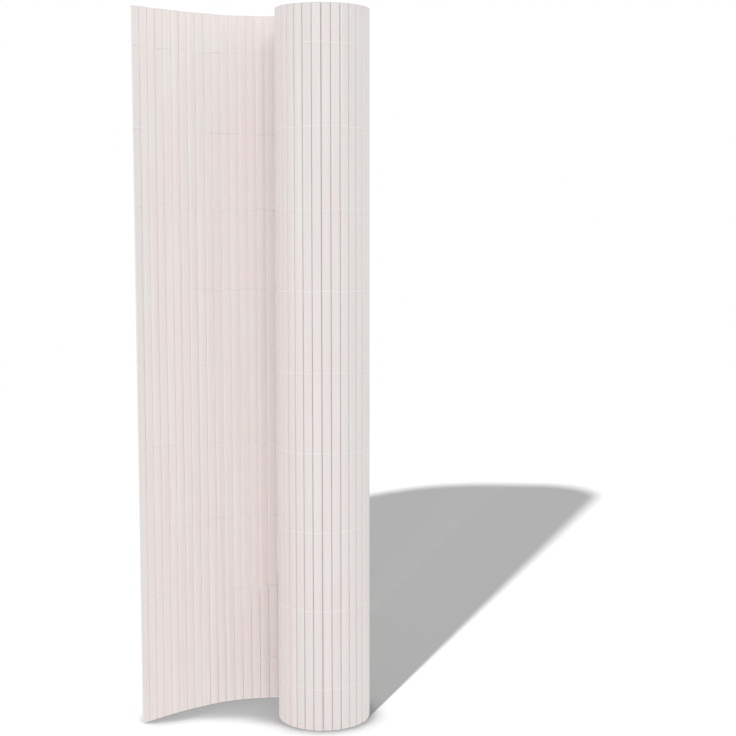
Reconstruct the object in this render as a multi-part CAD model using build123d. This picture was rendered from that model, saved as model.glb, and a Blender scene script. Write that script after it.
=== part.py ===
"""A privacy mat of hollow PVC slats and twine, rolled up, standing on end with its free end let out.

The slats stand upright on the ground plane, side by side along one path seen from above. From the free edge
the path runs along a gentle curve to the back of the roll, round the roll clockwise, and then inwards turn by
turn. Rows of twine cross the slats on both faces and hold them together. The free end and most of the outer
turn are separate slats. The rest of the roll is one wall of slats side by side.

The origin is the middle of the footprint, on the ground. The free end lies towards -X, and the outer face of
the roll's front looks towards -Y.
"""

from build123d import *
import math
import os

# Slats
mat_height = 900.0
slat_width = 11.3
slat_gap = 0.4
slat_thickness = 2.9
slat_side_wall = 0.85
slat_face_wall = 0.5
slat_chamfer = 0.7

# Rows of twine across the slats
twine_row_count = 9
twine_row_spacing = 100.0
twine_width = 1.0
twine_thickness = 0.3

# Roll
outer_turn_radius = 59.2
core_radius = 18.0
turn_clearance = 0.15
separate_turn_slats = 27
bound_turn_slats = 30
groove_width = 1.5

# Free end, from the roll to the free edge: three arcs, each some slats long
root_arc_slats = 6
root_arc_radius = 700.0
middle_arc_slats = 8
middle_arc_radius = 155.0
edge_arc_slats = 9
edge_arc_radius = 400.0

# Worked out from the sizes above
slat_pitch = slat_width + slat_gap
turn_pitch = slat_thickness + 2 * twine_thickness + turn_clearance
half_thickness = slat_thickness / 2
flap_slats = root_arc_slats + middle_arc_slats + edge_arc_slats
separate_slats = flap_slats + separate_turn_slats
lowest_row_height = (mat_height - (twine_row_count - 1) * twine_row_spacing) / 2


def flap_joints():
    """Points where the slats of the free end meet, from the roll outwards, without the one at the roll."""
    arcs = (
        (root_arc_slats, root_arc_radius),
        (middle_arc_slats, middle_arc_radius),
        (edge_arc_slats, edge_arc_radius),
    )
    point = Vector(0, outer_turn_radius)
    heading = math.pi
    joints = []
    for slats, radius in arcs:
        turn = 2 * math.asin(slat_pitch / (2 * radius))
        for _ in range(slats):
            chord = heading + turn / 2
            point += Vector(math.cos(chord), math.sin(chord)) * slat_pitch
            heading += turn
            joints.append(point)
    return joints


def roll_joints():
    """Points where the slats of the roll meet, from its back clockwise and inwards."""
    angle = 0.0
    radius = outer_turn_radius
    joints = []
    while radius > core_radius:
        joints.append(Vector(radius * math.sin(angle), radius * math.cos(angle)))
        angle += 2 * math.asin(slat_pitch / (2 * radius))
        radius = outer_turn_radius - turn_pitch * angle / (2 * math.pi)
    return joints


def along(start, end, distance, offset):
    """A point at a distance from the start of a slat's middle line, offset to its outer side."""
    forward = (end - start).normalized()
    return start + forward * distance + Vector(-forward.Y, forward.X) * offset


def mitre(before, joint, after, offset):
    """The point at a joint where the lines at one offset from both slats cross."""
    left = Vector(-(joint - before).Y, (joint - before).X).normalized()
    right = Vector(-(after - joint).Y, (after - joint).X).normalized()
    middle = (left + right).normalized()
    return joint + middle * (offset / middle.dot(left))


def side_line(joints, first, last, offset):
    """Mitre points at one offset from the path, at each joint after the first one to the last one."""
    inner = range(first + 1, last + 1)
    return [mitre(joints[i - 1], joints[i], joints[i + 1], offset) for i in inner]


def face_of(points):
    """A flat face on the ground plane inside a closed line of points."""
    return make_face(Polyline(*points, close=True))


def slat_profile():
    """The section of one slat on the ground plane, its width along X: a flat tube with eased edges."""
    outside = Rectangle(slat_width, slat_thickness)
    outside = chamfer(outside.vertices(), slat_chamfer)
    inside = Rectangle(slat_width - 2 * slat_side_wall, slat_thickness - 2 * slat_face_wall)
    return outside - inside


def make_slat(profile, start, end):
    """One upright slat, midway between two joints of the path."""
    heading = math.degrees(math.atan2((end - start).Y, (end - start).X))
    place = Location((start + end) * 0.5, (0, 0, heading))
    return extrude(place * profile, amount=mat_height)


def make_inner_turns(joints):
    """The rest of the roll as one wall: slats side by side, with a groove between each two outside."""
    first = separate_slats
    last = len(joints) - 1
    end_length = slat_pitch - slat_gap / 2
    outside = [along(joints[first], joints[first + 1], slat_gap / 2, half_thickness)]
    for i in range(first, last):
        start, end = joints[i], joints[i + 1]
        if i > first:
            outside.append(start)
            outside.append(along(start, end, groove_width / 2, half_thickness))
        if i < last - 1:
            outside.append(along(start, end, slat_pitch - groove_width / 2, half_thickness))
    outside.append(along(joints[last - 1], joints[last], end_length, half_thickness))
    inside = [along(joints[first], joints[first + 1], slat_gap / 2, -half_thickness)]
    inside += side_line(joints, first, last - 1, -half_thickness)
    inside.append(along(joints[last - 1], joints[last], end_length, -half_thickness))
    return extrude(face_of(outside + inside[::-1]), amount=mat_height)


def make_twine_face(joints):
    """One row of twine from above: along the outer faces, round the free edge, back along the inner ones."""
    outer_end = flap_slats + bound_turn_slats
    inner_end = flap_slats
    reach = half_thickness + twine_thickness
    edge = slat_gap / 2
    outer_far = [along(joints[0], joints[1], edge - twine_thickness, reach)]
    outer_far += side_line(joints, 0, outer_end, reach)
    outer_near = [along(joints[0], joints[1], edge, half_thickness)]
    outer_near += side_line(joints, 0, outer_end, half_thickness)
    inner_near = [along(joints[0], joints[1], edge, -half_thickness)]
    inner_near += side_line(joints, 0, inner_end, -half_thickness)
    inner_far = [along(joints[0], joints[1], edge - twine_thickness, -reach)]
    inner_far += side_line(joints, 0, inner_end, -reach)
    return face_of(outer_far + outer_near[::-1] + inner_near + inner_far[::-1])


def make_twine_row(face, height):
    """One row of twine, with its middle at a height above the ground."""
    return extrude(Pos(0, 0, height - twine_width / 2) * face, amount=twine_width)


joints = flap_joints()[::-1] + roll_joints()
profile = slat_profile()
parts = {}
for i in range(separate_slats):
    parts[f"slat_{i + 1:02d}"] = make_slat(profile, joints[i], joints[i + 1])
parts["inner_turns"] = make_inner_turns(joints)
twine_face = make_twine_face(joints)
for i in range(twine_row_count):
    height = lowest_row_height + i * twine_row_spacing
    parts[f"thread_row_{i + 1}"] = make_twine_row(twine_face, height)

# The footprint's middle becomes the origin
footprint = Compound(list(parts.values())).bounding_box()
to_origin = Pos(-footprint.center().X, -footprint.center().Y, 0)
os.makedirs("parts", exist_ok=True)
for name, solid in parts.items():
    export_step(to_origin * solid, f"parts/{name}.step")
print(f"{len(joints) - 1} slats, {(len(joints) - 1) * slat_pitch / 1000:.2f} m of mat")
print("roll axis at", to_origin.position)
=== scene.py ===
"""Dresses a rolled PVC slat mat and lights it on a white studio floor.

Every slat becomes a hollow tube with crowned faces and round edges, and each row of twine becomes two strands
that swap faces in the gaps between the slats. Lengths are in metres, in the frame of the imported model.
"""

import logging
import math
import random
from collections.abc import Callable
from dataclasses import dataclass, field
from enum import Enum

import bmesh
import bpy
from mathutils import Matrix, Vector

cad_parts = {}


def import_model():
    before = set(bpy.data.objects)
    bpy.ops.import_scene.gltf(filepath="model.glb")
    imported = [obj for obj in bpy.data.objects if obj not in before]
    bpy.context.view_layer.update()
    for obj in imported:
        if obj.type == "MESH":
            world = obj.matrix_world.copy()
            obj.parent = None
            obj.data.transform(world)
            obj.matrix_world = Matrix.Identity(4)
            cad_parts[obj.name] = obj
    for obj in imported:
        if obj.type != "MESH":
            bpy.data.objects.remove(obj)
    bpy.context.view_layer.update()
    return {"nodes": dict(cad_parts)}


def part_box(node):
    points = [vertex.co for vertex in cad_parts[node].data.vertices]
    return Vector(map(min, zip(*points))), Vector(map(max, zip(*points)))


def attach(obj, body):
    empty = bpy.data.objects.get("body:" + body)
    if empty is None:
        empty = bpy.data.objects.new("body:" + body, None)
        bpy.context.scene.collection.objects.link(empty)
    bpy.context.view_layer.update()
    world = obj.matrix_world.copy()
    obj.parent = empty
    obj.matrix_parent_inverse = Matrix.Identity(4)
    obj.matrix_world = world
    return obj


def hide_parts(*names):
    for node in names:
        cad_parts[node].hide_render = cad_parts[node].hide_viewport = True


ROOT_BODY = "root"
PHOTO_PIXELS = 736
FULL_TURN = 2 * math.pi
UP = Vector((0, 0, 1))
TINT = "slat_tint"
# Each slat's brightness factor: partly its own tone, partly painted light.
TONE_AND_PAINTED_LIGHT = "slat_tone_and_painted_light"

Colour = tuple[float, float, float]

log = logging.getLogger("slat_mat")


class Side(Enum):
    """The two faces of the mat, as the sign of the offset from its middle line."""

    OUTER = 1
    INNER = -1


class Slot(Enum):
    """The record's material slots."""

    PVC = "slat_pvc"
    TWINE = "twine"


class Warp(Enum):
    """The ways in which a slat is out of true."""

    BOW = "BEND"
    TWIST = "TWIST"


class Aim(Enum):
    """What a lamp lights."""

    FLOOR_ALONE = "INCLUDE"
    ALL_BUT_FLOOR = "EXCLUDE"


def deselect_all() -> None:
    """Leave edit mode and select nothing."""
    if bpy.context.object and bpy.context.object.mode != "OBJECT":
        bpy.ops.object.mode_set(mode="OBJECT")
    bpy.ops.object.select_all(action="DESELECT")


def make_active(piece: bpy.types.Object) -> None:
    """Select one object alone and make it the active one.

    Args:
        piece: the object to select.
    """
    deselect_all()
    piece.select_set(True)
    bpy.context.view_layer.objects.active = piece


def smooth_by_angle(piece: bpy.types.Object, degrees: float) -> None:
    """Shade smooth all edges that turn by less than an angle.

    Args:
        piece: the mesh object.
        degrees: the angle above which an edge stays sharp.
    """
    make_active(piece)
    bpy.ops.object.shade_smooth_by_angle(angle=math.radians(degrees))


def copy_of(master: bpy.types.Object, name: str) -> bpy.types.Object:
    """A copy of an object with its own mesh.

    Args:
        master: the object to copy.
        name: the copy's name.

    Returns:
        The copy, in the scene.
    """
    piece = master.copy()
    piece.data = master.data.copy()
    piece.name = name
    bpy.context.collection.objects.link(piece)
    return piece


def hand_in(piece: bpy.types.Object, slot: Slot, *nodes: str) -> None:
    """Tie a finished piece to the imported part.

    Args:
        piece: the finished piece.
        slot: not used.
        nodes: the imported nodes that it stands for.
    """
    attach(piece, ROOT_BODY)
    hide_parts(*nodes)
    log.info("%s: %d faces", piece.name, len(piece.data.polygons))


@dataclass(frozen=True)
class Station:
    """Where one slat stands, seen from above."""

    start: Vector
    end: Vector

    @property
    def middle(self) -> Vector:
        """The slat's middle point."""
        return (self.start + self.end) / 2

    @property
    def forward(self) -> Vector:
        """The way the mat runs, from the free edge into the roll."""
        return (self.end - self.start).normalized()

    @property
    def outward(self) -> Vector:
        """The way the mat's outer face looks."""
        return Vector((-self.forward.y, self.forward.x, 0))

    def at(self, distance: float, offset: float, height: float) -> Vector:
        """A point on or beside the slat.

        Args:
            distance: how far along the slat's width, from its start.
            offset: how far out of its middle line, towards the outer face.
            height: how far above the ground.

        Returns:
            The point in the model's frame.
        """
        point = self.start + self.forward * distance + self.outward * offset
        return Vector((point.x, point.y, height))


@dataclass
class MatLayout:
    """The line that the mat follows from above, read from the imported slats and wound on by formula."""

    slat_pitch: float = 0.0117
    turn_pitch: float = 0.00365
    outer_turn_radius: float = 0.0592
    core_radius: float = 0.018
    flap_slats: int = 23
    separate_slats: int = 50
    bound_slats: int = 53

    def packed_station(self, node: bpy.types.Object) -> Station:
        """Where a packed slat stands, from the long axis of its own mesh.

        Args:
            node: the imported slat.

        Returns:
            Its station, with the ends in the middle of the gaps beside it.
        """
        points = [Vector((v.co.x, v.co.y, 0)) for v in node.data.vertices]
        middle = sum(points, Vector((0, 0, 0))) / len(points)
        spread_x = sum((p.x - middle.x) ** 2 for p in points)
        spread_y = sum((p.y - middle.y) ** 2 for p in points)
        mixed = sum((p.x - middle.x) * (p.y - middle.y) for p in points)
        heading = 0.5 * math.atan2(2 * mixed, spread_x - spread_y)
        reach = Vector((math.cos(heading), math.sin(heading), 0)) * (self.slat_pitch / 2)
        return Station(middle - reach, middle + reach)

    def stations(self, nodes: dict[str, bpy.types.Object]) -> list[Station]:
        """Every slat's station, from the free edge to the core.

        Args:
            nodes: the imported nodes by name.

        Returns:
            One station for each slat of the mat.
        """
        found: list[Station] = []
        for number in range(1, self.separate_slats + 1):
            station = self.packed_station(nodes[f"slat_{number:02d}"])
            if found and (station.start - found[-1].end).length > (station.end - found[-1].end).length:
                station = Station(station.end, station.start)
            found.append(station)
        return found + self.wound_stations(self.roll_axis(found))

    def roll_axis(self, stations: list[Station]) -> Vector:
        """The foot of the roll's axis, straight in front of where the free end leaves the roll.

        Args:
            stations: the stations from the free edge on.

        Returns:
            The point on the ground.
        """
        return stations[self.flap_slats - 1].end - Vector((0, self.outer_turn_radius, 0))

    def wound_stations(self, axis: Vector) -> list[Station]:
        """The slats of the turns inside, wound on a spiral about the roll's axis.

        Args:
            axis: the foot of the roll's axis.

        Returns:
            The stations after the separate slats.
        """
        joints: list[Vector] = []
        angle = 0.0
        radius = self.outer_turn_radius
        while radius > self.core_radius:
            joints.append(axis + Vector((math.sin(angle), math.cos(angle), 0)) * radius)
            angle += 2 * math.asin(self.slat_pitch / (2 * radius))
            radius = self.outer_turn_radius - self.turn_pitch * angle / FULL_TURN
        first = self.separate_slats - self.flap_slats
        return [Station(a, b) for a, b in zip(joints[first:], joints[first + 1 :])]


class MaterialMaker:
    """Builds one Principled material from named steps on Object coordinates."""

    def __init__(self, name: str) -> None:
        """Start a material.

        Args:
            name: the material's name.
        """
        self.material = bpy.data.materials.new(name)
        self.material.use_nodes = True
        self.tree = self.material.node_tree
        self.shader = self.tree.nodes["Principled BSDF"]
        self.place = self.tree.nodes.new("ShaderNodeTexCoord").outputs["Object"]

    def feed(self, socket: str, output: bpy.types.NodeSocket) -> None:
        """Link an output to a socket of the shader."""
        self.tree.links.new(output, self.shader.inputs[socket])

    def set(self, socket: str, value: float) -> None:
        """Set a plain value on a socket of the shader."""
        self.shader.inputs[socket].default_value = value

    def attribute(self, name: str) -> bpy.types.NodeSocket:
        """The value that a piece's own mesh stores under a name.

        Args:
            name: the attribute's name.

        Returns:
            The value.
        """
        node = self.tree.nodes.new("ShaderNodeAttribute")
        node.attribute_name = name
        return node.outputs["Fac"]

    def height(self) -> bpy.types.NodeSocket:
        """The height above the ground.

        Returns:
            The height, in metres.
        """
        node = self.tree.nodes.new("ShaderNodeSeparateXYZ")
        self.tree.links.new(self.place, node.inputs["Vector"])
        return node.outputs["Z"]

    def arithmetic(
        self, operation: str, first: bpy.types.NodeSocket, second: bpy.types.NodeSocket | float = 0.0
    ) -> bpy.types.NodeSocket:
        """One step of arithmetic.

        Args:
            operation: the Math node's operation.
            first: the first value.
            second: the second value, linked or plain.

        Returns:
            The result.
        """
        node = self.tree.nodes.new("ShaderNodeMath")
        node.operation = operation
        self.tree.links.new(first, node.inputs[0])
        if isinstance(second, float):
            node.inputs[1].default_value = second
        else:
            self.tree.links.new(second, node.inputs[1])
        return node.outputs["Value"]

    def span(
        self,
        value: bpy.types.NodeSocket,
        source: tuple[float, float] = (0.0, 1.0),
        target: tuple[float, float] = (0.0, 1.0),
    ) -> bpy.types.NodeSocket:
        """Carry a value from one span to another.

        Args:
            value: the value.
            source: the two values that it has at the span's ends.
            target: what those become.

        Returns:
            The carried value.
        """
        node = self.tree.nodes.new("ShaderNodeMapRange")
        node.inputs["From Min"].default_value = source[0]
        node.inputs["From Max"].default_value = source[1]
        node.inputs["To Min"].default_value = target[0]
        node.inputs["To Max"].default_value = target[1]
        self.tree.links.new(value, node.inputs["Value"])
        return node.outputs["Result"]

    def mixed(
        self, share: bpy.types.NodeSocket, first: float, second: bpy.types.NodeSocket
    ) -> bpy.types.NodeSocket:
        """A plain value at 0 and another value at 1.

        Args:
            share: how much of the second, from 0 to 1.
            first: the plain value.
            second: the other value.

        Returns:
            The mixed value.
        """
        node = self.tree.nodes.new("ShaderNodeMix")
        node.inputs["A"].default_value = first
        self.tree.links.new(share, node.inputs["Factor"])
        self.tree.links.new(second, node.inputs["B"])
        return node.outputs["Result"]

    def openness(self, reach: float) -> bpy.types.NodeSocket:
        """The share of the sky that nothing near hides.

        Args:
            reach: how far a thing may be and still hide it.

        Returns:
            The share.
        """
        node = self.tree.nodes.new("ShaderNodeAmbientOcclusion")
        node.inputs["Distance"].default_value = reach
        return node.outputs["AO"]

    def distance(self, place: Vector) -> bpy.types.NodeSocket:
        """The distance from a place.

        Args:
            place: the place.

        Returns:
            The distance.
        """
        node = self.tree.nodes.new("ShaderNodeVectorMath")
        node.operation = "DISTANCE"
        node.inputs[1].default_value = place
        self.tree.links.new(self.place, node.inputs[0])
        return node.outputs["Value"]

    def noise(self, vector: bpy.types.NodeSocket, scale: float, detail: float) -> bpy.types.NodeSocket:
        """Noise on a vector.

        Args:
            vector: where it is read.
            scale: its scale.
            detail: its detail.

        Returns:
            The noise's value.
        """
        node = self.tree.nodes.new("ShaderNodeTexNoise")
        node.inputs["Scale"].default_value = scale
        node.inputs["Detail"].default_value = detail
        self.tree.links.new(vector, node.inputs["Vector"])
        return node.outputs["Fac"]

    def upright_noise(self, scale: float, stretch: float, detail: float) -> bpy.types.NodeSocket:
        """Noise drawn out along the slats.

        Args:
            scale: the noise's scale across the slats.
            stretch: its scale along them, as a share of that.
            detail: the noise's detail.

        Returns:
            The noise's value.
        """
        node = self.tree.nodes.new("ShaderNodeMapping")
        node.inputs["Scale"].default_value = (1.0, 1.0, stretch)
        self.tree.links.new(self.place, node.inputs["Vector"])
        return self.noise(node.outputs["Vector"], scale, detail)

    def slat_noise(self, name: str, spread: float, scale: float) -> bpy.types.NodeSocket:
        """Noise along each slat that differs from slat to slat.

        Args:
            name: the attribute that tells the slats apart.
            spread: what that attribute is multiplied by, to tell near values apart.
            scale: the noise's scale along the slats.

        Returns:
            The noise's value.
        """
        node = self.tree.nodes.new("ShaderNodeCombineXYZ")
        self.tree.links.new(self.arithmetic("MULTIPLY", self.attribute(name), spread), node.inputs["X"])
        self.tree.links.new(self.height(), node.inputs["Z"])
        return self.noise(node.outputs["Vector"], scale, detail=1.0)

    def slanting_bands(self, scale: float) -> bpy.types.NodeSocket:
        """Fine bands that slant across a strand.

        Args:
            scale: the wave's scale.

        Returns:
            The bands' value.
        """
        node = self.tree.nodes.new("ShaderNodeTexWave")
        node.bands_direction = "DIAGONAL"
        node.inputs["Scale"].default_value = scale
        self.tree.links.new(self.place, node.inputs["Vector"])
        return node.outputs["Fac"]

    def between(self, share: bpy.types.NodeSocket, first: Colour, second: Colour) -> bpy.types.NodeSocket:
        """A colour between two.

        Args:
            share: how much of the second, from 0 to 1.
            first: the linear colour at 0.
            second: the linear colour at 1.

        Returns:
            The colour.
        """
        node = self.tree.nodes.new("ShaderNodeMix")
        node.data_type = "RGBA"
        node.inputs["A"].default_value = (*first, 1.0)
        node.inputs["B"].default_value = (*second, 1.0)
        self.tree.links.new(share, node.inputs["Factor"])
        return node.outputs["Result"]

    def times(self, colour: bpy.types.NodeSocket, factor: bpy.types.NodeSocket) -> bpy.types.NodeSocket:
        """A colour multiplied by a value.

        Args:
            colour: the colour.
            factor: the value.

        Returns:
            The colour, darker where the value is lower.
        """
        node = self.tree.nodes.new("ShaderNodeMix")
        node.data_type = "RGBA"
        node.blend_type = "MULTIPLY"
        node.inputs["Factor"].default_value = 1.0
        self.tree.links.new(colour, node.inputs["A"])
        self.tree.links.new(factor, node.inputs["B"])
        return node.outputs["Result"]

    def bump(self, height: bpy.types.NodeSocket, distance: float) -> bpy.types.NodeSocket:
        """Bump from a height.

        Args:
            height: the height's value.
            distance: the relief, in metres.

        Returns:
            The bumped normal.
        """
        node = self.tree.nodes.new("ShaderNodeBump")
        node.inputs["Distance"].default_value = distance
        self.tree.links.new(height, node.inputs["Height"])
        return node.outputs["Normal"]


@dataclass(frozen=True)
class Pvc:
    """White extruded PVC: a satin skin with fine and broad draw lines, and a tint of its own on each slat.

    The cut ends are a little greyer at the top, and painted paler at the foot, a painted highlight.
    """

    warm: Colour = (0.826, 0.745, 0.730)
    cool: Colour = (0.804, 0.784, 0.760)
    drift_scale: float = 22.0
    drift_stretch: float = 0.38
    drift_share: float = 0.45
    slat_spread: float = 40.0
    slat_scale: float = 9.0
    softness: float = 0.22
    foot_painted_shade: float = 0.065
    streak_scale: float = 520.0
    streak_stretch: float = 0.004
    streak_shade: float = 0.945
    streak_height: float = 0.00004
    broad_scale: float = 230.0
    broad_stretch: float = 0.012
    broad_span: tuple[float, float] = (0.30, 0.70)
    broad_shades: tuple[float, float] = (0.974, 1.026)
    satin: tuple[float, float] = (0.36, 0.50)
    specular: float = 0.35
    end_reach: float = 0.0016
    top_shade: float = 0.86
    foot_painted_highlight: float = 1.06

    def material(self, height: float) -> bpy.types.Material:
        """The finished material.

        Args:
            height: the mat's height, where its upper cut ends are.

        Returns:
            The material.
        """
        made = MaterialMaker("slat_pvc_finish")
        streaks = made.upright_noise(self.streak_scale, self.streak_stretch, detail=2.0)
        lined = made.times(self.tint(made, height), made.span(streaks, target=(self.streak_shade, 1.0)))
        broad = made.upright_noise(self.broad_scale, self.broad_stretch, detail=1.0)
        lined = made.times(lined, made.span(broad, self.broad_span, self.broad_shades))
        # Each slat's brightness factor, partly its own tone and partly painted light.
        lined = made.times(lined, made.attribute(TONE_AND_PAINTED_LIGHT))
        top = (height - self.end_reach, height)
        lined = made.times(lined, made.span(made.height(), top, (1.0, self.top_shade)))
        # A painted highlight along the foot of each slat.
        lined = made.times(lined, made.span(made.height(), (0.0, self.end_reach), (self.foot_painted_highlight, 1.0)))
        made.feed("Base Color", lined)
        made.feed("Roughness", made.span(streaks, target=self.satin))
        made.feed("Normal", made.bump(streaks, self.streak_height))
        made.set("Specular IOR Level", self.specular)
        return made.material

    def tint(self, made: MaterialMaker, height: float) -> bpy.types.NodeSocket:
        """The colour before its draw lines, warm or cool by the slat and along it, and warmer at the foot, a
        painted shade.

        Args:
            made: the material in hand.
            height: the mat's height.

        Returns:
            The colour.
        """
        drift = made.upright_noise(self.drift_scale, self.drift_stretch, detail=2.0)
        own = made.slat_noise(TINT, self.slat_spread, self.slat_scale)
        drift = made.arithmetic("MULTIPLY", drift, self.drift_share)
        own = made.arithmetic("MULTIPLY", own, 1.0 - self.drift_share)
        level = made.arithmetic("ADD", made.arithmetic("ADD", drift, own), made.attribute(TINT))
        # Warmer, and so darker in green and blue, towards the foot: a painted shade.
        warmth = (-self.foot_painted_shade, self.foot_painted_shade)
        level = made.arithmetic("ADD", level, made.span(made.height(), (0.0, height), warmth))
        share = made.span(level, (1.0 - self.softness, 1.0 + self.softness))
        return made.between(share, self.warm, self.cool)


@dataclass(frozen=True)
class TwineFinish:
    """White polyester twine, matt, with the fine slanting lines of its twist."""

    pale: Colour = (0.98, 0.97, 0.96)
    deep: Colour = (0.88, 0.86, 0.85)
    twist_scale: float = 800.0
    twist_height: float = 0.00008
    roughness: float = 0.8

    def material(self) -> bpy.types.Material:
        """The finished material.

        Returns:
            The material.
        """
        made = MaterialMaker("twine_finish")
        twist = made.slanting_bands(self.twist_scale)
        made.feed("Base Color", made.between(twist, self.deep, self.pale))
        made.feed("Normal", made.bump(twist, self.twist_height))
        made.set("Roughness", self.roughness)
        return made.material


@dataclass(frozen=True)
class Look:
    """What sets one slat's colour apart: its tint from warm to cool, and a factor on its brightness that is
    partly its own tone and partly painted light.
    """

    tint: float
    tone_and_painted_light: float


@dataclass
class SlatMaker:
    """Makes one hollow slat and places copies of it."""

    width: float = 0.0113
    outer_narrowing: float = 0.038
    inner_widening: float = 0.023
    thickness: float = 0.0029
    outer_crown: float = 0.00042
    inner_crown: float = 0.00027
    outer_edge_radius: float = 0.00118
    inner_edge_radius: float = 0.00062
    edge_segments: int = 3
    wall: float = 0.0004
    face_cuts: int = 3
    length_cuts: int = 7
    place_tolerance: float = 0.00004
    sharp_degrees: float = 40.0
    most_bow_degrees: dict[str, float] = field(default_factory=lambda: {"X": 0.12, "Y": 0.05})
    most_twist_degrees: float = 0.7
    most_lean_degrees: float = 0.5
    most_uneven_end: float = 0.0003

    def master(self, name: str, height: float, length_cuts: int) -> bpy.types.Object:
        """One hollow slat, upright, its middle at the origin and its width along X.

        Args:
            name: the object's name.
            height: its length.
            length_cuts: how many cuts divide its length.

        Returns:
            The slat.
        """
        deselect_all()
        bpy.ops.mesh.primitive_cube_add(size=1.0, location=(0, 0, 0))
        slat = bpy.context.object
        slat.name = name
        slat.scale = (self.width, self.thickness - self.outer_crown - self.inner_crown, height)
        bpy.ops.object.transform_apply(location=False, rotation=False, scale=True)
        bpy.ops.object.mode_set(mode="EDIT")
        self.crown_faces(slat)
        self.taper_sides(slat)
        self.round_edges(slat, Side.OUTER, self.outer_edge_radius)
        self.round_edges(slat, Side.INNER, self.inner_edge_radius)
        self.hollow_out(slat)
        if length_cuts:
            self.select_edges(slat, lambda a, b: abs(a.z - b.z) > self.width)
            bpy.ops.mesh.subdivide(number_cuts=length_cuts)
        bpy.ops.object.mode_set(mode="OBJECT")
        smooth_by_angle(slat, self.sharp_degrees)
        modifier = slat.modifiers.new("flat_faces", "WEIGHTED_NORMAL")
        modifier.keep_sharp = True
        bpy.ops.object.modifier_apply(modifier=modifier.name)
        return slat

    def select_edges(self, slat: bpy.types.Object, wanted: Callable[[Vector, Vector], bool]) -> None:
        """Select the edges whose two ends pass a test.

        Args:
            slat: the slat, in edit mode.
            wanted: the test of the two ends' places.
        """
        bpy.ops.mesh.select_mode(type="EDGE")
        bpy.ops.mesh.select_all(action="DESELECT")
        mesh = bmesh.from_edit_mesh(slat.data)
        for edge in mesh.edges:
            if wanted(edge.verts[0].co, edge.verts[1].co):
                edge.select_set(True)
        bmesh.update_edit_mesh(slat.data)

    def select_strip(self, slat: bpy.types.Object, share: float, side: Side) -> None:
        """Select the points of one broad face at a distance from its middle line.

        Args:
            slat: the slat, in edit mode.
            share: the distance, as a share of the width.
            side: which face.
        """
        bpy.ops.mesh.select_mode(type="VERT")
        bpy.ops.mesh.select_all(action="DESELECT")
        mesh = bmesh.from_edit_mesh(slat.data)
        for vertex in mesh.verts:
            near = abs(abs(vertex.co.x) - share * self.width) < self.place_tolerance
            if near and vertex.co.y * side.value > 0:
                vertex.select_set(True)
        bmesh.update_edit_mesh(slat.data)

    def crown_faces(self, slat: bpy.types.Object) -> None:
        """Divide both broad faces lengthwise and raise them to a shallow arch.

        Args:
            slat: a plain box, in edit mode.
        """
        self.select_edges(slat, lambda a, b: abs(a.x - b.x) > self.width / 2)
        bpy.ops.mesh.subdivide(number_cuts=self.face_cuts)
        strips = self.face_cuts + 1
        for side, crown in ((Side.OUTER, self.outer_crown), (Side.INNER, self.inner_crown)):
            for step in range(strips // 2):
                share = step / strips
                lift = 1 - (2 * share) ** 2
                self.select_strip(slat, share, side)
                bpy.ops.transform.translate(value=(0, crown * lift * side.value, 0))

    def taper_sides(self, slat: bpy.types.Object) -> None:
        """Widen the inner face and narrow the outer one, so that the mat closes up when it is let out.

        Args:
            slat: the crowned box, in edit mode.
        """
        for side, scale in ((Side.OUTER, 1 - self.outer_narrowing), (Side.INNER, 1 + self.inner_widening)):
            bpy.ops.mesh.select_all(action="DESELECT")
            mesh = bmesh.from_edit_mesh(slat.data)
            for vertex in mesh.verts:
                if vertex.co.y * side.value > 0:
                    vertex.select_set(True)
            bmesh.update_edit_mesh(slat.data)
            bpy.ops.transform.resize(value=(scale, 1, 1), center_override=(0, 0, 0))

    def round_edges(self, slat: bpy.types.Object, side: Side, radius: float) -> None:
        """Round the two long edges of one broad face.

        Args:
            slat: the crowned box, in edit mode.
            side: which face.
            radius: their radius.
        """
        past_cuts = self.width / 2 * (1 - 1 / (self.face_cuts + 1))
        half_way_out = self.thickness / 4

        def at_corner(point: Vector) -> bool:
            """Whether a point is on one of the two edges."""
            return abs(point.x) > past_cuts and point.y * side.value > half_way_out

        self.select_edges(slat, lambda a, b: abs(a.z - b.z) > self.width and at_corner(a) and at_corner(b))
        bpy.ops.mesh.bevel(offset=radius, segments=self.edge_segments, affect="EDGES")

    def hollow_out(self, slat: bpy.types.Object) -> None:
        """Inset both ends by the wall and join the insets through the slat.

        Args:
            slat: the solid slat, in edit mode.
        """
        bpy.ops.mesh.select_mode(type="FACE")
        bpy.ops.mesh.select_all(action="DESELECT")
        mesh = bmesh.from_edit_mesh(slat.data)
        for face in mesh.faces:
            looks_along = abs(face.normal.z) > face.normal.xy.length
            face.select_set(looks_along)
        bmesh.update_edit_mesh(slat.data)
        bpy.ops.mesh.inset(thickness=self.wall, use_even_offset=True)
        bpy.ops.mesh.bridge_edge_loops()

    def deform(self, slat: bpy.types.Object, warp: Warp, axis: str, degrees: float) -> None:
        """Bow or twist a slat about its middle.

        Args:
            slat: the slat.
            warp: which of the two.
            axis: the axis to turn about.
            degrees: the whole angle from end to end.
        """
        modifier = slat.modifiers.new(warp.name.lower(), "SIMPLE_DEFORM")
        modifier.deform_method = warp.value
        modifier.deform_axis = axis
        modifier.angle = math.radians(degrees)
        make_active(slat)
        bpy.ops.object.modifier_apply(modifier=modifier.name)

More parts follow.
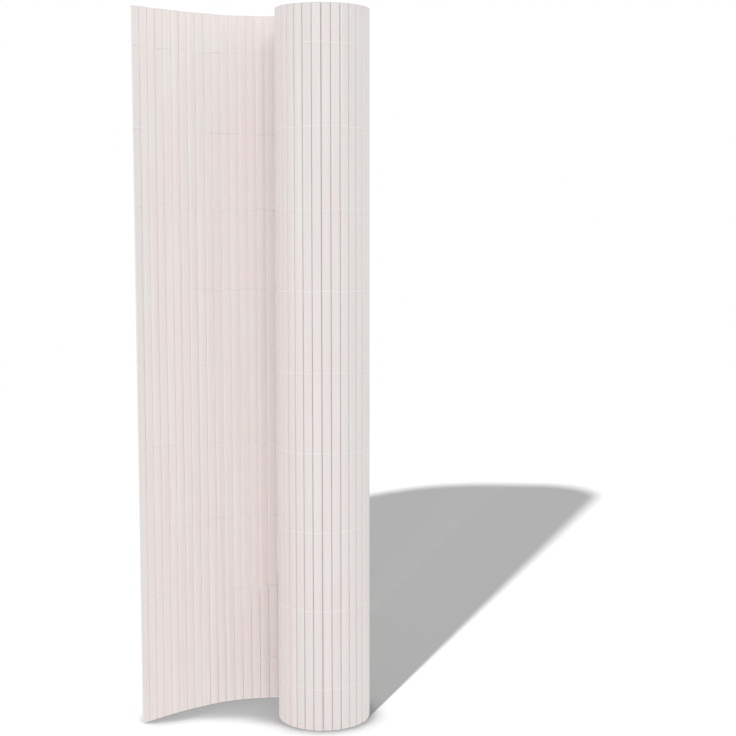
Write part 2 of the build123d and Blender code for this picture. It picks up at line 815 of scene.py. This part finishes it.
    def place(self, slat: bpy.types.Object, station: Station, lift: float, look: Look) -> None:
        """Stand a slat at its station, with its place in its mesh.

        Args:
            slat: the slat, upright about the origin.
            station: where it stands.
            lift: how high its middle is.
            look: its own tint, and its own tone with painted light.
        """
        turn = Matrix.Rotation(math.atan2(station.forward.y, station.forward.x), 4, "Z")
        slat.data.transform(Matrix.Translation(station.middle + UP * lift) @ turn)
        for name, value in ((TINT, look.tint), (TONE_AND_PAINTED_LIGHT, look.tone_and_painted_light)):
            stored = slat.data.attributes.new(name, "FLOAT", "POINT")
            stored.data.foreach_set("value", [value] * len(slat.data.vertices))

    def uneven_copy(
        self, master: bpy.types.Object, name: str, station: Station, height: float, chance: random.Random
    ) -> bpy.types.Object:
        """One slat with its own slight bow, twist, lean and cut.

        Args:
            master: the slat to copy.
            name: the copy's name.
            station: not used.
            height: the mat's height.
            chance: the seeded source of its unevenness.

        Returns:
            The copy, still upright about the origin, and ready to be placed at half the height.
        """
        slat = copy_of(master, name)
        for axis, most in self.most_bow_degrees.items():
            self.deform(slat, Warp.BOW, axis, chance.uniform(-most, most))
        twist = chance.uniform(-self.most_twist_degrees, self.most_twist_degrees)
        self.deform(slat, Warp.TWIST, "Z", twist)
        lean = math.radians(chance.uniform(-self.most_lean_degrees, self.most_lean_degrees))
        cut = 1 - chance.uniform(0, self.most_uneven_end) / height
        slat.data.transform(Matrix.Rotation(lean, 4, "Z") @ Matrix.Diagonal((1, 1, cut, 1)))
        lowest = min(vertex.co.z for vertex in slat.data.vertices)
        slat.data.transform(Matrix.Translation(UP * (-height / 2 - lowest)))
        return slat


@dataclass(frozen=True)
class Lie:
    """How a row of twine lies on one slat: its height, and its thickness as a share of the full one."""

    height: float
    thickness: float


@dataclass
class TwineMaker:
    """Makes a row of twine: two strands that swap faces in each gap and meet round the free edge."""

    radius: float = 0.00040
    squeeze: float = 0.65
    round_steps: int = 1
    sharp_degrees: float = 60.0
    seat: float = 0.00026
    half_thickness: float = 0.00145
    shoulder: float = 0.00122
    gap_offset: float = 0.0008
    shoulder_reach: float = 0.0017
    gap_reach: float = 0.00045
    strand_rise: float = 0.00035
    step_chance: float = 0.62
    most_step: float = 0.0011
    lift: float = 0.003
    thicknesses: tuple[float, float] = (0.24, 0.85)
    flap_fullness: float = 1.75

    def over_slat(self, station: Station, side: Side, rise: float, lie: Lie) -> list[tuple[Vector, float]]:
        """The points of one strand over one slat, from the gap before it.

        Args:
            station: the slat's station.
            side: the face that the strand lies on.
            rise: how far above the row's middle it passes the gap.
            lie: how it lies on this slat.

        Returns:
            Points and thicknesses from the middle of the gap to the far edge of the slat's face.
        """
        pitch = (station.end - station.start).length
        crest = (self.half_thickness + self.seat * lie.thickness) * side.value
        shoulder = (self.shoulder + self.seat * lie.thickness) * side.value
        edge = self.gap_offset * side.value
        gap_thickness = min(self.squeeze, lie.thickness)
        return [
            (station.at(0.0, 0.0, lie.height + rise), gap_thickness),
            (station.at(self.gap_reach, edge, lie.height + rise / 2), gap_thickness),
            (station.at(self.shoulder_reach, shoulder, lie.height), lie.thickness),
            (station.at(pitch / 2, crest, lie.height), lie.thickness),
            (station.at(pitch - self.shoulder_reach, shoulder, lie.height), lie.thickness),
            (station.at(pitch - self.gap_reach, edge, lie.height - rise / 2), gap_thickness),
        ]

    def strand(
        self, stations: list[Station], first_side: Side, lies: list[Lie]
    ) -> list[tuple[Vector, float]]:
        """One strand along the mat.

        Args:
            stations: the slats that it binds.
            first_side: its face on the first slat.
            lies: how it lies on each slat.

        Returns:
            The strand's points and thicknesses from the free edge on.
        """
        points: list[tuple[Vector, float]] = []
        side = first_side
        for station, lie in zip(stations, lies):
            points += self.over_slat(station, side, self.strand_rise * first_side.value, lie)
            side = Side(-side.value)
        return points

    def row(self, name: str, stations: list[Station], lies: list[Lie]) -> bpy.types.Object:
        """A whole row of twine.

        Args:
            name: the piece's name.
            stations: the slats that it binds.
            lies: how it lies on each slat.

        Returns:
            The row, as a mesh.
        """
        there = self.strand(stations, Side.OUTER, lies)
        back = self.strand(stations, Side.INNER, lies)
        points = there[::-1] + back
        curve = bpy.data.curves.new(name, "CURVE")
        curve.dimensions = "3D"
        curve.bevel_depth = self.radius
        curve.bevel_resolution = self.round_steps
        curve.use_fill_caps = True
        spline = curve.splines.new("POLY")
        spline.points.add(len(points) - 1)
        for target, (place, thickness) in zip(spline.points, points):
            target.co = (*place, 1.0)
            target.radius = thickness
        row = bpy.data.objects.new(name, curve)
        bpy.context.collection.objects.link(row)
        make_active(row)
        bpy.ops.object.convert(target="MESH")
        smooth_by_angle(row, self.sharp_degrees)
        return row


@dataclass
class SlatMat:
    """The whole mat: its slats, its inner turns and its rows of twine."""

    layout: MatLayout
    slats: SlatMaker
    twine: TwineMaker
    seed: int = 11
    tint_spread: float = 0.07
    shade_spread: float = 0.008
    roll_fade: float = 3.0
    # The second value of each look is painted light. It is paler on the free end, which gets less light, and
    # paler on the roll's two sides than in its middle. It is darker where the roll's shadow falls on the free
    # end.
    look_trend: tuple[tuple[int, Look], ...] = (
        (1, Look(0.60, 1.024)),
        (2, Look(0.45, 1.055)),
        (8, Look(0.44, 1.070)),
        (13, Look(0.43, 1.062)),
        (15, Look(0.32, 1.036)),
        (17, Look(0.25, 1.060)),
        (23, Look(0.30, 1.060)),
        (30, Look(0.56, 0.965)),
        (33, Look(0.57, 0.965)),
        (36, Look(0.52, 0.945)),
        (40, Look(0.54, 0.934)),
        (42, Look(0.42, 0.934)),
        (44, Look(0.35, 0.955)),
        (50, Look(0.45, 0.955)),
    )
    row_drifts: tuple[tuple[float, float, float], ...] = (
        (0.0, 0.0035, 0.0040),
        (0.0050, 0.0, 0.0010),
        (0.0015, -0.0030, -0.0040),
        (0.0026, -0.0030, -0.0030),
        (0.0050, -0.0044, 0.0014),
        (0.0030, -0.0050, -0.0020),
        (0.0050, -0.0020, 0.0),
        (0.0005, -0.0030, -0.0010),
        (0.0, -0.0010, 0.0),
    )

    def build(self, nodes: dict[str, bpy.types.Object]) -> list[Station]:
        """Make every piece and dress it.

        Args:
            nodes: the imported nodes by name.

        Returns:
            Every slat's station.
        """
        chance = random.Random(self.seed)
        stations = self.layout.stations(nodes)
        low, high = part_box("inner_turns")
        height = high[2] - low[2]
        pvc = Pvc().material(height)
        twine = TwineFinish().material()
        looks = [self.look_of(number, chance) for number in range(1, len(stations) + 1)]
        self.build_separate(stations, looks, height, pvc, chance)
        self.build_inner(stations, looks, height, pvc)
        for number, drifts in enumerate(self.row_drifts, start=1):
            self.build_row(number, drifts, stations[: self.layout.bound_slats], twine, chance)
        return stations

    def look_of(self, number: int, chance: random.Random) -> Look:
        """A slat's own look, near the mat's trend there.

        Args:
            number: the slat, counted from the free edge.
            chance: the seeded source of its look.

        Returns:
            The look.
        """
        trend = self.look_trend[-1][1]
        for (first, look), (last, next_look) in zip(self.look_trend, self.look_trend[1:]):
            if first <= number <= last:
                share = (number - first) / (last - first)
                tint = look.tint + (next_look.tint - look.tint) * share
                trend = Look(tint, look.tone_and_painted_light + (next_look.tone_and_painted_light - look.tone_and_painted_light) * share)
        tint = trend.tint + chance.uniform(-self.tint_spread, self.tint_spread)
        return Look(tint, trend.tone_and_painted_light + chance.uniform(-self.shade_spread, self.shade_spread))

    def build_separate(
        self,
        stations: list[Station],
        looks: list[Look],
        height: float,
        finish: bpy.types.Material,
        chance: random.Random,
    ) -> None:
        """The slats of the free end and the outer turn.

        Args:
            stations: every slat's station.
            looks: every slat's look.
            height: the mat's height.
            finish: their material.
            chance: the seeded source of their unevenness.
        """
        master = self.slats.master("slat_master", height, self.slats.length_cuts)
        for index in range(self.layout.separate_slats):
            node = f"slat_{index + 1:02d}"
            slat = self.slats.uneven_copy(master, f"{node}_tube", stations[index], height, chance)
            self.slats.place(slat, stations[index], height / 2, looks[index])
            slat.data.materials.append(finish)
            hand_in(slat, Slot.PVC, node)
        bpy.data.objects.remove(master)

    def build_inner(
        self, stations: list[Station], looks: list[Look], height: float, finish: bpy.types.Material
    ) -> None:
        """The turns inside, as one piece.

        Args:
            stations: every slat's station.
            looks: every slat's look.
            height: the mat's height.
            finish: their material.
        """
        master = self.slats.master("inner_master", height, length_cuts=0)
        copies = []
        for index in range(self.layout.separate_slats, len(stations)):
            slat = copy_of(master, f"inner_slat_{index + 1}")
            self.slats.place(slat, stations[index], height / 2, looks[index])
            copies.append(slat)
        bpy.data.objects.remove(master)
        make_active(copies[0])
        for slat in copies:
            slat.select_set(True)
        bpy.ops.object.join()
        turns = bpy.context.object
        turns.name = "inner_turns_tubes"
        turns.data.materials.append(finish)
        hand_in(turns, Slot.PVC, "inner_turns")

    def drift_at(self, share: float, drifts: tuple[float, float, float]) -> float:
        """How far a row is above its own height.

        Args:
            share: how far along the mat, as a share of the free end.
            drifts: the drift at the free edge, the one that it leans to midway, and the one at the roll.

        Returns:
            The drift, which fades out on the roll.
        """
        at_edge, at_middle, at_roll = drifts
        if share < 1:
            return (1 - share) ** 2 * at_edge + 2 * share * (1 - share) * at_middle + share**2 * at_roll
        return at_roll * max(0.0, 1 - (share - 1) * self.roll_fade)

    def row_lies(
        self, middle: float, drifts: tuple[float, float, float], slats: int, chance: random.Random
    ) -> list[Lie]:
        """How a row of twine lies on each slat.

        Args:
            middle: the row's own height.
            drifts: how it wanders along the free end.
            slats: how many slats it binds.
            chance: the seeded source of its steps and thicknesses.

        Returns:
            One lie for each slat.
        """
        lies: list[Lie] = []
        step = 0.0
        thickness = 1.0
        for index in range(slats):
            share = index / self.layout.flap_slats
            if chance.random() < self.twine.step_chance:
                step = chance.uniform(-self.twine.most_step, self.twine.most_step)
                thickness = chance.uniform(*self.twine.thicknesses)
            height = middle + self.twine.lift + self.drift_at(share, drifts) + step
            fullness = self.twine.flap_fullness if share < 1 else 1.0
            lies.append(Lie(height, thickness * fullness))
        return lies

    def build_row(
        self,
        number: int,
        drifts: tuple[float, float, float],
        stations: list[Station],
        finish: bpy.types.Material,
        chance: random.Random,
    ) -> None:
        """One row of twine.

        Args:
            number: the row, counted from the ground.
            drifts: how it wanders along the free end.
            stations: the stations of the slats that it binds.
            finish: its material.
            chance: the seeded source of its steps.
        """
        node = f"thread_row_{number}"
        low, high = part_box(node)
        lies = self.row_lies((low[2] + high[2]) / 2, drifts, len(stations), chance)
        row = self.twine.row(f"{node}_strands", stations, lies)
        row.data.materials.append(finish)
        hand_in(row, Slot.TWINE, node)


@dataclass(frozen=True)
class FloorFinish:
    """A floor that looks evenly white in the lamp's light and evenly grey in its shadow.

    Light falls on it more and more aslant away from the lamp. Its colour grows paler with the distance by as
    much, and it glows a little less for that, so that neither the white nor the grey changes. Shade is
    painted on it in the hollow of the free end and along the mat's foot. What it throws back on the mat is a
    plain grey.
    """

    ambient: float
    albedo_under_lamp: float = 0.20
    bounce_albedo: float = 0.258
    shadow_level: float = 0.445
    far_share: float = 3.0
    fade: tuple[float, float] = (1.9, 2.7)
    hollow_reach: float = 0.12
    hollow_open: tuple[float, float] = (0.62, 0.71)
    hollow_shade: float = 0.335
    rim_reach: float = 0.05
    rim_open: tuple[float, float] = (0.50, 0.95)
    rim_shade: float = 0.75

    def material(self, lamp_place: Vector) -> bpy.types.Material:
        """The finished material.

        Args:
            lamp_place: where the lamp is that throws the shadow.

        Returns:
            The material.
        """
        made = MaterialMaker("floor_finish")
        seen = made.tree.nodes.new("ShaderNodeLightPath").outputs["Is Camera Ray"]
        # Painted shade in the hollow of the free end and along the mat's foot, where the mat hides the sky.
        hollow = made.span(made.openness(self.hollow_reach), self.hollow_open, (self.hollow_shade, 1.0))
        rim = made.span(made.openness(self.rim_reach), self.rim_open, (self.rim_shade, 1.0))
        painted_shade = made.arithmetic("MULTIPLY", hollow, rim)
        away = made.distance(lamp_place)
        reach = (lamp_place.z, lamp_place.z * self.far_share)
        albedos = (self.albedo_under_lamp, self.albedo_under_lamp * self.far_share)
        glows = tuple(self.shadow_level - self.ambient * albedo for albedo in albedos)
        near = made.span(made.distance(Vector((0, 0, 0))), self.fade, (1.0, 0.0))
        albedo = made.arithmetic("MULTIPLY", made.span(away, reach, albedos), near)
        glow = made.arithmetic("SUBTRACT", made.span(away, reach, glows), 1.0)
        glow = made.arithmetic("MULTIPLY", glow, near)
        albedo = made.arithmetic("MULTIPLY", albedo, painted_shade)
        made.feed("Base Color", made.mixed(seen, self.bounce_albedo, albedo))
        made.feed("Emission Strength", made.arithmetic("MULTIPLY", made.arithmetic("ADD", glow, 1.0), seen))
        made.shader.inputs["Emission Color"].default_value = (1, 1, 1, 1)
        made.set("Roughness", 1.0)
        made.set("Specular IOR Level", 0.0)
        return made.material


@dataclass
class Studio:
    """The white floor, the lamps and the camera."""

    floor_radius: float = 4.0
    floor_sides: int = 96
    ambient: float = 0.92
    front_direction: tuple[float, float, float] = (0.48, 0.77, -0.42)
    front_strength: float = 0.39
    front_angle: float = 60.0
    key_direction: tuple[float, float, float] = (-0.37, 0.79, -0.485)
    key_strength: float = 0.29
    key_angle: float = 9.0
    side_direction: tuple[float, float, float] = (-0.95, 0.20, -0.25)
    side_strength: float = 0.12
    side_angle: float = 60.0
    shadow_lamp_place: tuple[float, float, float] = (-0.300, -1.430, 1.780)
    shadow_lamp_power: float = 122.0
    shadow_lamp_radius: float = 0.024
    camera_distance: float = 1.738
    camera_height: float = 0.6448
    camera_azimuth_degrees: float = 8.35
    camera_yaw_degrees: float = 1.90
    camera_pitch_degrees: float = 5.79
    focal_pixels: float = 1376.2
    shift_pixels: float = -12.0

    def build(self, roll_axis: Vector) -> None:
        """Set up the stage.

        Args:
            roll_axis: the foot of the roll's axis.
        """
        lamp_place = roll_axis + Vector(self.shadow_lamp_place)
        floor = self.build_floor(lamp_place)
        self.build_world()
        front = self.build_sun("front_light", self.front_direction, self.front_strength, self.front_angle)
        key = self.build_sun("key_light", self.key_direction, self.key_strength, self.key_angle)
        side = self.build_sun("side_light", self.side_direction, self.side_strength, self.side_angle)
        shadow = self.build_shadow_lamp(lamp_place)
        for lamp in (front, key, side):
            self.aim(lamp, floor, Aim.ALL_BUT_FLOOR)
        self.aim(shadow, floor, Aim.FLOOR_ALONE)
        self.build_camera(roll_axis)
        bpy.context.scene.view_settings.view_transform = "Standard"

    def build_floor(self, lamp_place: Vector) -> bpy.types.Object:
        """The floor that the mat stands on.

        Args:
            lamp_place: where the lamp is that throws the shadow.

        Returns:
            The floor.
        """
        deselect_all()
        bpy.ops.mesh.primitive_circle_add(
            vertices=self.floor_sides, radius=self.floor_radius, fill_type="NGON", location=(0, 0, 0)
        )
        floor = bpy.context.object
        floor.name = "studio_floor"
        floor.data.materials.append(FloorFinish(ambient=self.ambient).material(lamp_place))
        return floor

    def build_world(self) -> None:
        """Even light from all round, which the camera sees as white."""
        world = bpy.data.worlds.new("studio_world")
        bpy.context.scene.world = world
        world.use_nodes = True
        tree = world.node_tree
        background = tree.nodes["Background"]
        path = tree.nodes.new("ShaderNodeLightPath")
        strength = tree.nodes.new("ShaderNodeMapRange")
        strength.inputs["To Min"].default_value = self.ambient
        strength.inputs["To Max"].default_value = 1.0
        tree.links.new(path.outputs["Is Camera Ray"], strength.inputs["Value"])
        tree.links.new(strength.outputs["Result"], background.inputs["Strength"])
        background.inputs["Color"].default_value = (1, 1, 1, 1)

    def build_sun(
        self, name: str, direction: tuple[float, float, float], strength: float, angle: float
    ) -> bpy.types.Object:
        """A distant lamp.

        Args:
            name: the lamp's name.
            direction: the way its light travels.
            strength: its strength.
            angle: how wide it looks, in degrees.

        Returns:
            The lamp.
        """
        lamp = bpy.data.lights.new(name, "SUN")
        lamp.energy = strength
        lamp.angle = math.radians(angle)
        sun = bpy.data.objects.new(name, lamp)
        sun.rotation_euler = Vector(direction).to_track_quat("-Z", "Y").to_euler()
        bpy.context.collection.objects.link(sun)
        return sun

    def build_shadow_lamp(self, place: Vector) -> bpy.types.Object:
        """The lamp that throws the shadow on the floor, as bright far away as near.

        Args:
            place: where it is.

        Returns:
            The lamp.
        """
        lamp = bpy.data.lights.new("shadow_lamp", "POINT")
        lamp.energy = self.shadow_lamp_power
        lamp.shadow_soft_size = self.shadow_lamp_radius
        lamp.use_nodes = True
        falloff = lamp.node_tree.nodes.new("ShaderNodeLightFalloff")
        falloff.inputs["Strength"].default_value = 1.0
        emission = lamp.node_tree.nodes["Emission"]
        lamp.node_tree.links.new(falloff.outputs["Constant"], emission.inputs["Strength"])
        lantern = bpy.data.objects.new("shadow_lamp", lamp)
        lantern.location = place
        bpy.context.collection.objects.link(lantern)
        return lantern

    def aim(self, lamp: bpy.types.Object, floor: bpy.types.Object, target: Aim) -> None:
        """Let a lamp light the floor alone, or everything but the floor.

        Args:
            lamp: the lamp.
            floor: the floor.
            target: which of the two.
        """
        receivers = bpy.data.collections.new(f"{lamp.name}_receivers")
        receivers.objects.link(floor)
        receivers.collection_objects[0].light_linking.link_state = target.value
        lamp.light_linking.receiver_collection = receivers

    def build_camera(self, roll_axis: Vector) -> None:
        """The camera, in front of the roll and a little to its right.

        Args:
            roll_axis: the foot of the roll's axis.
        """
        azimuth = math.radians(self.camera_azimuth_degrees)
        yaw = math.radians(self.camera_yaw_degrees) - azimuth
        lens = bpy.data.cameras.new("camera")
        lens.lens = self.focal_pixels / PHOTO_PIXELS * lens.sensor_width
        lens.shift_y = self.shift_pixels / PHOTO_PIXELS
        camera = bpy.data.objects.new("camera", lens)
        place = Vector((math.sin(azimuth), -math.cos(azimuth), 0)) * self.camera_distance
        camera.location = roll_axis + place + UP * self.camera_height
        camera.rotation_euler = (math.radians(90 - self.camera_pitch_degrees), 0, -yaw)
        bpy.context.collection.objects.link(camera)
        bpy.context.scene.camera = camera


def main() -> None:
    """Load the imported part, dress it and set its stage."""
    logging.basicConfig(level=logging.INFO)
    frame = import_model()
    layout = MatLayout()
    stations = SlatMat(layout, SlatMaker(), TwineMaker()).build(frame["nodes"])
    Studio().build(layout.roll_axis(stations))


if __name__ == "__main__":
    main()
